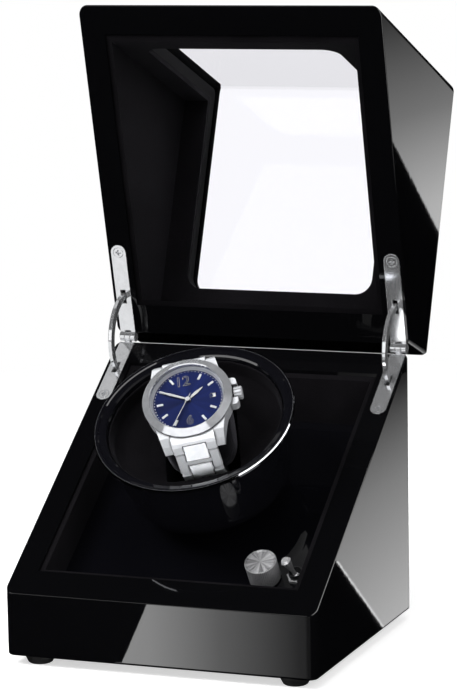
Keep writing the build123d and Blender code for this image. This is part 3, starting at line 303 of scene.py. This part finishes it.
def brushed(name, matrix, stretch, colour=(0.66, 0.67, 0.69), rough=0.26, metal=1.0):
    """Brushed metal: fine lines along the direction whose stretch is small."""
    g = Graph(name, Metallic=metal)
    lines = g.noise(9000, 4, 0.65, g.coordinates(matrix, stretch))
    dull = tuple(0.80 * level for level in colour)
    g.set("Base Color", g.ramp(lines, (0.25, dull), (0.75, colour)))
    g.set("Roughness", g.remap(lines, rough * 0.75, rough * 1.3))
    g.set("Normal", g.bump(lines, 0.012 * MM, 0.7))
    return g.material


def board_green():
    """Circuit board with its lacquer and copper pattern."""
    g = Graph("circuit_board", IOR=1.5, Roughness=0.3)
    tracks = g.node(
        "ShaderNodeTexBrick", ("Vector", g.coordinates()), ("Scale", 160.0),
        ("Color1", (0.01, 0.10, 0.03)), ("Color2", (0.012, 0.13, 0.04)),
        ("Mortar", (0.03, 0.2, 0.07)),
    )
    g.set("Base Color", tracks.outputs["Color"])
    return g.material


def wood():
    """Plain softwood batten with its grain lengthwise."""
    g = Graph("batten_wood", IOR=1.45, Roughness=0.7)
    rings = g.noise(60, 5, 0.6, g.coordinates(stretch=(8, 1, 8)))
    g.set("Base Color", g.ramp(rings, (0.3, (0.30, 0.20, 0.12)), (0.7, (0.45, 0.33, 0.21))))
    g.set("Normal", g.bump(rings, 0.2 * MM, 0.4))
    return g.material


def clear(name, colour, ior):
    """Clear pane with faint smears: colour is what one surface lets through."""
    g = Graph(name, Base_Color=colour, IOR=ior, Transmission_Weight=1.0)
    g.set("Roughness", g.remap(g.noise(35, 3), 0.0, 0.012))
    return g.material


def thin_glass():
    """Flat sapphire over the dial: nearly all open, with a faint polish."""
    g = Graph("watch_glass", Base_Color=(0.01, 0.01, 0.012), IOR=1.6, Alpha=0.10)
    g.set("Roughness", g.remap(g.noise(300, 2), 0.01, 0.03))
    return g.material


DOT_CIRCLE = 15.6 * MM       # where the printed minute dots stand
DOT_RADIUS = 0.24 * MM
DOT_STEP = math.tau / 60
BATON_HEIGHT = 0.06 * MM     # what stands higher over the dial is a baton
RING_RADIUS = 16.3 * MM      # the pale sloping ring lies outside it


def dial_blue():
    """Navy dial with a painted sunburst sheen, lighter and darker streaks of blue round its centre, and with
    printed minute dots, white batons and a pale sloping ring.
    """
    g = Graph("dial_blue", IOR=1.5)
    radius, angle, height = g.polar(DIAL)
    ray = g.around(angle)
    # painted sunburst sheen: the blue is lighter and darker by angle; the fine streaks also set the roughness and
    # bumps
    fine = g.noise(70, 4, 0.7, ray)
    broad_painted_sheen = g.noise(1.3, 2, 0.5, ray)
    tone = g.maths("ADD", g.maths("MULTIPLY", fine, 0.25), g.maths("MULTIPLY", broad_painted_sheen, 0.75))
    blue = g.ramp(tone, (0.30, (0.008, 0.012, 0.050)), (0.66, (0.016, 0.030, 0.165)))
    # steps from the nearest dot: the 60 keeps the count positive, the half centres it
    count = g.maths("ADD", g.maths("DIVIDE", angle, DOT_STEP), 60.5)
    share = g.maths("SUBTRACT", g.maths("FRACT", count), 0.5)
    along = g.maths("MULTIPLY", share, DOT_STEP * DOT_CIRCLE)
    apart = g.length(along, g.maths("SUBTRACT", radius, DOT_CIRCLE))
    dot = g.maths("LESS_THAN", apart, DOT_RADIUS)
    baton = g.maths("GREATER_THAN", height, BATON_HEIGHT)
    ring = g.maths("GREATER_THAN", radius, RING_RADIUS)
    white = g.maths("MAXIMUM", g.maths("MAXIMUM", dot, baton), ring)
    pale = g.mix(ring, (0.80, 0.82, 0.86), (0.62, 0.64, 0.70))
    g.set("Base Color", g.mix(white, blue, pale))
    g.set("Metallic", g.remap(white, 0.85, 0.25))
    g.set("Roughness", g.remap(fine, 0.26, 0.42))
    g.set("Normal", g.bump(fine, 0.01 * MM, 0.5))
    return g.material


KNOB_FACE = 7.1 * MM         # the spun face lies inside it, the grooved side outside
KNOB_RINGS = 28000.0         # turning marks, in radians for each metre of radius
KNOB_GROOVES = 54.0


def spun_knob():
    """Turned aluminium: a spun face with painted highlights and painted shade in bright and dark sectors of its
    colour, and a finely grooved side.
    """
    g = Graph("knob_metal", Anisotropic=0.6)
    radius, angle, _ = g.polar(KNOB)
    side = g.maths("GREATER_THAN", radius, KNOB_FACE)
    # painted highlights and shade: bright and dark sectors of colour round the axis stand in for the spun face's
    # reflections
    painted_highlight_sectors = g.noise(2.6, 3, 0.55, g.around(angle))
    dark, middle, light = (0.30, 0.30, 0.31), (0.62, 0.62, 0.64), (0.95, 0.95, 0.97)
    face = g.ramp(painted_highlight_sectors, (0.38, dark), (0.50, middle), (0.60, light))
    g.set("Base Color", g.mix(side, face, (0.80, 0.80, 0.82)))
    g.set("Metallic", g.remap(side, 0.7, 0.55))
    rings = g.maths("SINE", g.maths("MULTIPLY", radius, KNOB_RINGS))
    waves = g.maths("SINE", g.maths("MULTIPLY", angle, KNOB_GROOVES))
    grooves = g.maths("MULTIPLY", waves, side)
    g.set("Roughness", g.remap(rings, 0.20, 0.34, -1.0, 1.0))
    cut = g.bump(rings, 0.004 * MM, 0.5)
    g.set("Normal", g.bump(grooves, 0.09 * MM, 1.0, cut))
    # the tangent runs round the axis, and highlights are drawn out along it
    round_axis = g.flat(g.maths("MULTIPLY", g.maths("SINE", angle), -1.0), g.maths("COSINE", angle))
    tangent = g.node(
        "ShaderNodeVectorTransform",
        ("Vector", g.mapped(round_axis, ("Rotation", KNOB.to_euler()), kind="VECTOR")),
        vector_type="VECTOR", convert_from="OBJECT", convert_to="WORLD",
    )
    g.set("Tangent", tangent.outputs["Vector"])
    return g.material


CUP_BLACK = 46.35 * MM       # the cup is black gloss inside this radius
CUP_BRIGHT = 46.5 * MM       # and polished metal outside this one


def cup_finish():
    """Black gloss cup whose outermost edge is a bright polished ring."""
    g = Graph("cup_gloss", IOR=1.5)
    radius, _, _ = g.polar(RIM)
    ring = g.remap(radius, 0.0, 1.0, CUP_BLACK, CUP_BRIGHT)
    g.set("Base Color", g.mix(ring, (0.004, 0.004, 0.0055), (0.50, 0.51, 0.54)))
    g.set("Metallic", ring)
    g.set("Roughness", g.remap(g.noise(120, 3), 0.03, 0.07))
    return g.material


STEEL = (0.90, 0.91, 0.93)
MATERIALS = {
    "lacquer": lacquer(),
    "bottom_board": board_paint(),
    "velvet": velvet("velvet", (0.0028, 0.0026, 0.0031), (0.0085, 0.0078, 0.0092), sheen=0.06),
    "suede": velvet("suede", (0.006, 0.006, 0.007), (0.016, 0.0155, 0.018), sheen=0.2),
    "platform_gloss": gloss_plastic("platform_gloss", (0.003, 0.003, 0.0042), 0.03),
    "cup_gloss": cup_finish(),
    "batten_wood": wood(),
    "window_acrylic": clear("window_acrylic", (0.955, 0.950, 0.992), ior=1.12),
    "retainer_plastic": satin_plastic("retainer_plastic", (0.010, 0.010, 0.011)),
    "feet_rubber": rubber(),
    "hinge_chrome": plated("hinge_chrome", metal=0.82, edge=0.5 * MM),
    "screw_steel": plated("screw_steel", (0.55, 0.56, 0.58), 0.2),
    "bracket_alloy": brushed("bracket_alloy", RIM, (0.03, 1, 1)),
    "gearbox_steel": brushed("gearbox_steel", RIM, (1, 1, 0.03), (0.45, 0.46, 0.48)),
    "brass": plated("brass", (0.72, 0.52, 0.22), 0.18),
    "gear_nylon": satin_plastic("gear_nylon", (0.62, 0.61, 0.57), 0.5),
    "control_black": satin_plastic("control_black", (0.012, 0.012, 0.013), 0.4),
    "circuit_board": board_green(),
    "control_chrome": plated("control_chrome", (0.88, 0.88, 0.90), 0.12, metal=0.6),
    "knob_metal": spun_knob(),
    "watch_steel": brushed("watch_steel", DIAL, (1, 0.03, 1), STEEL, 0.32, metal=0.3),
    "watch_polished": plated("watch_polished", STEEL, 0.08, metal=0.72),
    "watch_hands": plated("watch_hands", (0.88, 0.89, 0.91), 0.10),
    "watch_blue_dial": dial_blue(),
    "watch_glass": thin_glass(),
}
GAP_REACH = 1.3 * MM         # surfaces nearer to each other than this get painted shade from each other


def paint_gap_shade(material):
    """Painted shade: darken the base colour in the narrow gaps between links and parts, which light hardly enters.
    """
    tree = material.node_tree
    colour = tree.nodes["Principled BSDF"].inputs["Base Color"]
    gaps = tree.nodes.new("ShaderNodeAmbientOcclusion")
    gaps.samples = 8
    gaps.inputs["Distance"].default_value = GAP_REACH
    tree.links.new(colour.links[0].from_socket, gaps.inputs["Color"])
    sharp = tree.nodes.new("ShaderNodeGamma")
    sharp.inputs["Gamma"].default_value = 2.0
    tree.links.new(gaps.outputs["Color"], sharp.inputs["Color"])
    tree.links.new(sharp.outputs["Color"], colour)


# painted shade in the narrow gaps of the watch's steels
for steel in ("watch_steel", "watch_polished", "watch_hands"):
    paint_gap_shade(MATERIALS[steel])


def dress_nodes():
    """Give every CAD node the material of its slot."""
    for name, slot in SLOTS.items():
        NODES[name].data.materials.clear()
        NODES[name].data.materials.append(MATERIALS[slot])


# ------------------------------------------------------------------ soft pieces
GROW = 20.0                  # the soft pieces are small, and are worked this many times larger
CLOTH_STIFFNESS = 25.0


def settled(obj):
    """Mesh of an object with its modifiers in."""
    graph = bpy.context.evaluated_depsgraph_get()
    return bpy.data.meshes.new_from_object(obj.evaluated_get(graph))


def settle(piece):
    """Put an object's modifiers into its mesh."""
    piece.data = settled(piece)
    piece.modifiers.clear()


def one_skin(name, node, cell):
    """Grown copy of a CAD solid, with a modifier that makes it one closed skin."""
    mesh = NODES[node].data.copy()
    mesh.transform(Matrix.Scale(GROW, 4))
    piece = placed(name, mesh)
    skin = piece.modifiers.new("skin", "REMESH")
    skin.mode = "VOXEL"
    skin.voxel_size = cell * GROW
    return piece


def draw_in(piece, inward, smoothing):
    """Round a mesh and draw it in, to leave room for it to swell."""
    work = bmesh.new()
    work.from_mesh(piece.data)
    axes = {"use_axis_x": True, "use_axis_y": True, "use_axis_z": True}
    for _ in range(smoothing):
        bmesh.ops.smooth_vert(work, verts=work.verts, factor=0.5, **axes)
    work.normal_update()
    moved = [vertex.normal * (-inward * GROW) for vertex in work.verts]
    for vertex, move in zip(work.verts, moved):
        vertex.co += move
    work.to_mesh(piece.data)
    work.free()


def inflate(piece, pressure, frames, cap):
    """Cloth pressure, with every point kept within the cap."""
    start = [vertex.co.copy() for vertex in piece.data.vertices]
    cloth = piece.modifiers.new("cloth", "CLOTH")
    cloth.settings.use_pressure = True
    cloth.settings.uniform_pressure_force = pressure
    cloth.settings.effector_weights.gravity = 0.0
    cloth.settings.tension_stiffness = CLOTH_STIFFNESS
    cloth.settings.compression_stiffness = CLOTH_STIFFNESS
    cloth.point_cache.frame_end = frames
    for number in range(1, frames + 1):
        bpy.context.scene.frame_set(number)
    puffed = settled(piece)
    limit = cap * GROW
    for vertex, first, last in zip(piece.data.vertices, start, puffed.vertices):
        move = last.co - first
        vertex.co = first + (move if move.length <= limit else move.normalized() * limit)
    piece.modifiers.clear()
    bpy.context.scene.frame_set(1)
    bpy.data.meshes.remove(puffed)


def finish_soft(piece, node, body):
    """Back to real size, smooth and dressed, on its body, with its CAD node hidden."""
    piece.data.transform(Matrix.Scale(1.0 / GROW, 4))
    piece.data.materials.clear()
    piece.data.materials.append(MATERIALS[SLOTS[node]])
    piece.data.shade_smooth()
    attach(piece, body)
    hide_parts(node)


def make_cushion():
    """Suede cushion inside the bracelet, puffed by cloth pressure."""
    piece = one_skin("soft_cushion", "watch_cushion", cell=1.3 * MM)
    settle(piece)
    draw_in(piece, inward=0.75 * MM, smoothing=2)
    inflate(piece, pressure=4.0, frames=14, cap=0.95 * MM)
    finish_soft(piece, "watch_cushion", "watch")


def make_cup_pad():
    """Velvet pad and sleeve of the cup, with rounded edges and a slightly uneven pile."""
    piece = one_skin("soft_cup_pad", "cup_lining", cell=0.7 * MM)
    soften = piece.modifiers.new("soften", "SMOOTH")
    soften.factor = 0.5
    soften.iterations = 5
    pile = bpy.data.textures.new("pile", "CLOUDS")
    pile.noise_scale = 9 * MM * GROW
    uneven = piece.modifiers.new("uneven", "DISPLACE")
    uneven.texture = pile
    uneven.texture_coords = "LOCAL"
    uneven.strength = 0.22 * MM * GROW
    uneven.mid_level = 0.9
    fewer = piece.modifiers.new("fewer", "DECIMATE")
    fewer.ratio = 0.3
    settle(piece)
    finish_soft(piece, "cup_lining", "turntable")


# ------------------------------------------------------------------ dial pieces
NUMERAL_CIRCLE = 11.4 * MM
NUMERAL_LIFT = 0.14 * MM
FONT_SHARE = 1.38            # the font's size over the height of its figures
DATE_CORNERS = [(10.35, -1.05), (12.9, -1.05), (12.9, 1.05), (10.35, 1.05)]  # millimetres
DATE_STROKE_X = 11.6 * MM


def on_dial(x, y, z):
    """Place in the shared frame of a spot given in millimetres on the dial."""
    return DIAL @ (Vector((x, y, z)) * MM)


def make_numeral(text, hour, height):
    """An outlined numeral, its height in millimetres, that stands on the dial."""
    curve = bpy.data.curves.new("numeral_" + text, "FONT")
    curve.body = text
    curve.align_x = "CENTER"
    curve.align_y = "CENTER"
    curve.size = height * MM * FONT_SHARE
    curve.space_character = 0.98
    curve.fill_mode = "NONE"
    curve.bevel_depth = 0.13 * MM
    curve.bevel_resolution = 2
    curve.offset = 0.05 * MM
    outline = placed("numeral_" + text, curve)
    mesh = settled(outline)
    bpy.data.objects.remove(outline)
    angle = math.radians(90 - 30 * hour)
    middle = Vector((math.cos(angle), math.sin(angle), 0)) * NUMERAL_CIRCLE
    centre = sum((v.co for v in mesh.vertices), Vector()) / len(mesh.vertices)
    for vertex in mesh.vertices:
        vertex.co += middle - centre
        vertex.co.z += NUMERAL_LIFT
    piece = placed("numeral_" + text, mesh)
    mesh.transform(DIAL)
    mesh.materials.append(MATERIALS["watch_hands"])
    mesh.shade_smooth()
    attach(piece, "watch")
    return piece


def date_white():
    """White date print with a plain dark number stroke."""
    g = Graph("date_white", Roughness=0.45)
    x, y, _ = g.split(g.coordinates(DIAL))
    aside = g.maths("ABSOLUTE", g.maths("SUBTRACT", x, DATE_STROKE_X))
    bar = g.maths("LESS_THAN", aside, 0.16 * MM)
    tall = g.maths("LESS_THAN", g.maths("ABSOLUTE", y), 0.62 * MM)
    stroke = g.maths("MULTIPLY", bar, tall)
    g.set("Base Color", g.mix(stroke, (0.86, 0.87, 0.9), (0.03, 0.03, 0.035)))
    return g.material


def make_date():
    """White date disc just under the dial's face, which the dial's pocket bares in part, and
    a bright frame on the face."""
    work = bmesh.new()
    work.faces.new([work.verts.new(on_dial(x, y, -0.12)) for x, y in DATE_CORNERS])
    mesh = bpy.data.meshes.new("date_disc")
    work.to_mesh(mesh)
    work.free()
    disc = placed("date_disc", mesh)
    mesh.materials.append(date_white())
    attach(disc, "watch")
    edge = bpy.data.curves.new("date_frame", "CURVE")
    edge.dimensions = "3D"
    edge.bevel_depth = 0.12 * MM
    spline = edge.splines.new("POLY")
    spline.points.add(len(DATE_CORNERS) - 1)
    for point, (x, y) in zip(spline.points, DATE_CORNERS):
        point.co = (*on_dial(x, y, 0.06), 1)
    spline.use_cyclic_u = True
    ring = placed("date_frame", edge)
    edge.materials.append(MATERIALS["watch_hands"])
    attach(ring, "watch")
    return disc, ring


# ------------------------------------------------------------------ camera, light, studio
CAMERA_PLACE = Vector((507.45, -1316.64, 364.23)) * MM
CAMERA_TARGET = Vector((10.105, -38.624, 140.08)) * MM
CAMERA_ROLL = math.radians(-1.011)
CAMERA_LENS = 157.32         # in millimetres, as is the sensor's height
CAMERA_SENSOR = 36.0


def add_camera():
    """The camera, rolled a little about its line of sight."""
    forward = (CAMERA_TARGET - CAMERA_PLACE).normalized()
    right = forward.cross(Vector((0, 0, 1))).normalized()
    up = right.cross(forward)
    across = math.cos(CAMERA_ROLL) * right + math.sin(CAMERA_ROLL) * up
    data = bpy.data.cameras.new("camera")
    data.sensor_fit = "VERTICAL"
    data.sensor_height = CAMERA_SENSOR
    data.lens = CAMERA_LENS
    data.clip_end = 20.0
    camera = placed("camera", data)
    camera.matrix_world = frame_at(CAMERA_PLACE, -forward, across)
    bpy.context.scene.camera = camera


def limit_to(light, receivers):
    """Let a lamp or a card reach the named objects alone."""
    group = bpy.data.collections.new(light.name + "_receivers")
    for receiver in receivers:
        group.objects.link(receiver)
    light.light_linking.receiver_collection = group


def add_area(name, place, target, size, power, receivers=()):
    """White rectangular lamp that no mirror shows."""
    data = bpy.data.lights.new(name, "AREA")
    data.shape = "RECTANGLE"
    data.size, data.size_y = size
    data.energy = power
    light = placed(name, data)
    away = (Vector(place) - Vector(target)).normalized()
    light.matrix_world = frame_at(place, away, Vector((0, 0, 1)).cross(away))
    light.visible_glossy = False
    if receivers:
        limit_to(light, receivers)


LAMP_TARGET = (0, 0, 0.12)   # between the cup and the hinges


def add_lamps():
    """Two low lamps for the hanging links alone, then the key, the right and the top one."""
    low = {"place": (0.30, -0.85, 0.0), "target": (0, -0.07, 0.10), "size": (0.4, 0.3)}
    outer = [NODES["bracelet_side_links"], NODES["bracelet_clasp"]]
    add_area("side_links", **low, power=13.0, receivers=outer)
    add_area("centre_links", **low, power=75.0, receivers=[NODES["bracelet_centre_links"]])
    add_area("key", place=(-0.55, -0.75, 0.95), target=LAMP_TARGET, size=(0.7, 0.5), power=12.0)
    add_area("right", place=(0.9, -0.5, 0.5), target=LAMP_TARGET, size=(0.4, 0.8), power=3.0)
    add_area("top", place=(0.1, -0.25, 1.2), target=(0, 0, 0.1), size=(0.6, 0.6), power=4.0)


WORLD_FILL = 0.42            # level that matt surfaces get from all sides
WORLD_DARK = 0.012           # level that mirrors see away from the soft window
WINDOW_LEVEL = 0.55
WINDOW_DIRECTION = (0.93, -0.22, 0.28)
WINDOW_INNER = math.cos(math.radians(16))      # it is full within this angle
WINDOW_OUTER = math.cos(math.radians(50))      # and has faded out at this one


def add_world():
    """White to the camera and through clear panes; mirrors see a dark studio with a soft
    window to its right."""
    g = Graph("studio", world=True)
    bpy.context.scene.world = g.material
    facing = g.dot(g.node("ShaderNodeTexCoord").outputs["Generated"], WINDOW_DIRECTION)
    window = g.remap(facing, 0.0, WINDOW_LEVEL, WINDOW_OUTER, WINDOW_INNER, smooth=True)
    mirrored = g.maths("ADD", window, WORLD_DARK)
    seen = g.seen_straight()
    glossy = g.node("ShaderNodeLightPath").outputs["Is Glossy Ray"]
    rest = g.maths("MULTIPLY", g.maths("SUBTRACT", 1.0, glossy), WORLD_FILL)
    rest = g.maths("ADD", rest, g.maths("MULTIPLY", glossy, mirrored))
    hidden = g.maths("MULTIPLY", rest, g.maths("SUBTRACT", 1.0, seen))
    g.set("Color", (1, 1, 1))
    g.set("Strength", g.maths("ADD", seen, hidden))


FLOOR_SIZE = 8.0
FLOOR_SHADED = 0.22          # the floor shows its shadows within this radius
FLOOR_WHITE = 0.75           # and is plain white beyond this one


def add_floor():
    """Pale floor that keeps the object's soft shadow and turns plain white further out."""
    bpy.ops.mesh.primitive_plane_add(size=FLOOR_SIZE, location=(0, 0, 0))
    floor = bpy.context.object
    floor.name = "floor"
    g = Graph("floor", Roughness=0.9, Specular_IOR_Level=0.0)
    x, y, _ = g.split(g.coordinates())
    far = g.remap(g.length(x, y), 0.0, 1.0, FLOOR_SHADED, FLOOR_WHITE, smooth=True)
    through = g.node("ShaderNodeLightPath").outputs["Is Transmission Ray"]
    far = g.maths("MAXIMUM", far, through)
    g.set("Base Color", g.mix(far, (0.8, 0.8, 0.8), (0.0, 0.0, 0.0)))
    g.set("Emission Color", (1, 1, 1))
    g.set("Emission Strength", g.maths("MULTIPLY", g.seen_straight(), g.remap(far, 0.60, 1.0)))
    floor.data.materials.append(g.material)
    floor.visible_glossy = False


# ------------------------------------------------------------------ cards that mirrors see
BRIGHTEST = 8.0              # a colour ramp stops at one, so it holds shares of this level


def glow(name, level=None, places=(), axis=2):
    """Card surface that is bright on its front side only: one level, or a level at each of
    some places in millimetres along an axis."""
    g = Graph(name)
    if level is None:
        low, high = places[0][0], places[-1][0]
        stops = [((at - low) / (high - low), shade / BRIGHTEST) for at, shade in places]
        span = g.remap(g.split(g.coordinates())[axis], 0.0, 1.0, low * MM, high * MM)
        level = g.maths("MULTIPLY", g.ramp(span, *stops), BRIGHTEST)
    front = g.node("ShaderNodeEmission", ("Strength", level)).outputs[0]
    back = g.node("ShaderNodeBsdfTransparent").outputs[0]
    behind = g.node("ShaderNodeNewGeometry").outputs["Backfacing"]
    sides = g.node("ShaderNodeMixShader", (0, behind), (1, front), (2, back)).outputs[0]
    g.feed(g.tree.nodes["Material Output"], "Surface", sides)
    return g.material


def card(name, corners, facing, surface, receivers=()):
    """A flat reflector or flag, its corners in millimetres, that only mirrors see, and only
    the receivers' mirrors if there are any."""
    mesh = bpy.data.meshes.new(name)
    mesh.from_pydata([Vector(c) * MM for c in corners], [], [tuple(range(len(corners)))])
    mesh.update()
    if mesh.polygons[0].normal.dot(Vector(facing)) < 0:
        mesh.flip_normals()
    mesh.materials.append(surface)
    made = placed(name, mesh)
    made.visible_camera = False
    made.visible_diffuse = False
    made.visible_shadow = False
    made.visible_transmission = False
    made.visible_volume_scatter = False
    if receivers:
        limit_to(made, receivers)


def upright(x, *places):
    """Corners at one x from their (y, z) places."""
    return [(x, y, z) for y, z in places]


def stretched(left, right, near, far):
    """Four corners from left to right, between a near and a far (y, z) edge."""
    return [(left, *near), (right, *near), (right, *far), (left, *far)]


LEFTWARD, REARWARD, UPWARD, DOWNWARD = (-1, 0, 0), (0, 1, 0), (0, 0, 1), (0, 0, -1)
CARD_GAP = 50                # millimetres from the box to the cards beside it
FLAG_GAP = 1                 # the black flag stands this far behind the pale cards
LINE_GAP = 0.5               # and the bright line this far before them


def add_lacquer_cards():
    """What the lacquer mirrors: beside the box a black flag, with pale panels and a bright
    line before it, then a panel in front, and walls for the edges of the boards and cup."""
    side = SIDE_X / MM + CARD_GAP
    flag = upright(side + FLAG_GAP, (0, -70), (340, -70), (340, 340), (0, 340))
    card("flag_side", flag, LEFTWARD, glow("card_black", 0.0))

    levels = [(-46, 2.15), (38, 1.0), (88, 0.1), (99, 0.03)]
    panel = upright(side, (50.3, 26.9), (151.5, -45.5), (230, -45.5), (230, 92), (120, 92))
    card("card_base_side", panel, LEFTWARD, glow("card_base_side", places=levels))

    line = upright(side - LINE_GAP, (64.3, 15.9), (139, -37.6), (141, -37.6), (66.3, 15.9))
    card("card_base_line", line, LEFTWARD, glow("card_line", 3.6))

    levels = [(150, 2.3), (176, 2.0), (227, 0.8), (278, 0.17), (300, 0.1)]
    panel = upright(side, (150, 223.6), (260, 144.6), (300, 144.6), (300, 310), (130, 310))
    card("card_lid_side", panel, LEFTWARD, glow("card_lid_side", places=levels))

    front = FRONT_Y / MM - CARD_GAP
    levels = [(-42, 6.0), (-25, 5.5), (10.5, 2.4), (49.7, 0.45), (75, 0.15)]
    panel = [(-22.4, front, 27), (-44.9, front, -22), (110, front, -22), (110, front, 27)]
    card("card_front", panel, REARWARD, glow("card_front", places=levels, axis=0))

    places = ("front", "left", "right")
    edged = [NODES[f"{part}_{place}_board"] for part in ("base", "lid") for place in places]
    edged.append(NODES["turntable_cup"])
    wall = upright(700, (-900, -380), (700, -380), (700, 900), (-900, 900))
    card("edge_right", wall, LEFTWARD, glow("card_edge_right", 4.0), edged)
    wall = stretched(-1300, -100, (-900, 500), (-700, 1200))
    card("edge_front", wall, REARWARD, glow("card_edge_front", 3.4), edged)


CONTROLS = ("mode_knob", "toggle_lever", "toggle_switch")
CHROME = (
    "hinge_lid_plates", "hinge_base_plates", "hinge_stay_left", "hinge_stay_right",
    "hinge_pins", "hinge_lid_screws", "hinge_base_screws", *CONTROLS,
)
WATCH_METAL = (
    "watch_case", "watch_bezel", "watch_crown", "watch_dial", "bracelet_side_links",
    "bracelet_centre_links", "bracelet_clasp", "hour_hand", "minute_hand", "second_hand",
)
LOW_REACH = 1500             # how far the two low cards reach from the middle
LOW_SPLIT = -150             # the x where they meet
LOW_Z = -75                  # under the cards beside the box


def add_metal_cards(dial_pieces):
    """Bright surroundings that only the chrome, the controls and the watch see."""
    chrome = [NODES[name] for name in CHROME]
    knob = [NODES[name] for name in CONTROLS]
    watch = [NODES[name] for name in WATCH_METAL] + dial_pieces
    near, far = (-LOW_REACH, LOW_Z), (LOW_REACH, LOW_Z)
    for name, corners, facing, surface, level, receivers in (
        ("floor_left", stretched(-LOW_REACH, LOW_SPLIT, near, far), UPWARD,
         "card_floor_left", 0.95, chrome + watch),
        ("floor_right", stretched(LOW_SPLIT, LOW_REACH, near, far), UPWARD,
         "card_floor_right", 0.7, knob + watch),
        ("board_over", stretched(-900, 500, (-60, 850), (700, 850)), DOWNWARD,
         "card_over", 0.42, chrome),
        ("softbox_watch", stretched(-800, 350, (-800, 750), (-120, 900)), DOWNWARD,
         "card_watch", 1.4, watch + knob),
        ("softbox_front", stretched(-900, 700, (-1500, 0), (-1300, 1500)), REARWARD,
         "card_front_wall", 1.2, watch + chrome),
    ):
        card(name, corners, facing, glow(surface, level), receivers)


dress_nodes()
make_cushion()
make_cup_pad()
dial_pieces = [make_numeral("12", 0, 5.3), make_numeral("6", 6, 4.8), *make_date()]
add_camera()
add_world()
add_floor()
add_lacquer_cards()
add_metal_cards(dial_pieces)
add_lamps()
for pane in ("window_panel", "watch_crystal"):
    NODES[pane].visible_shadow = False

bpy.context.scene.view_settings.view_transform = "Standard"
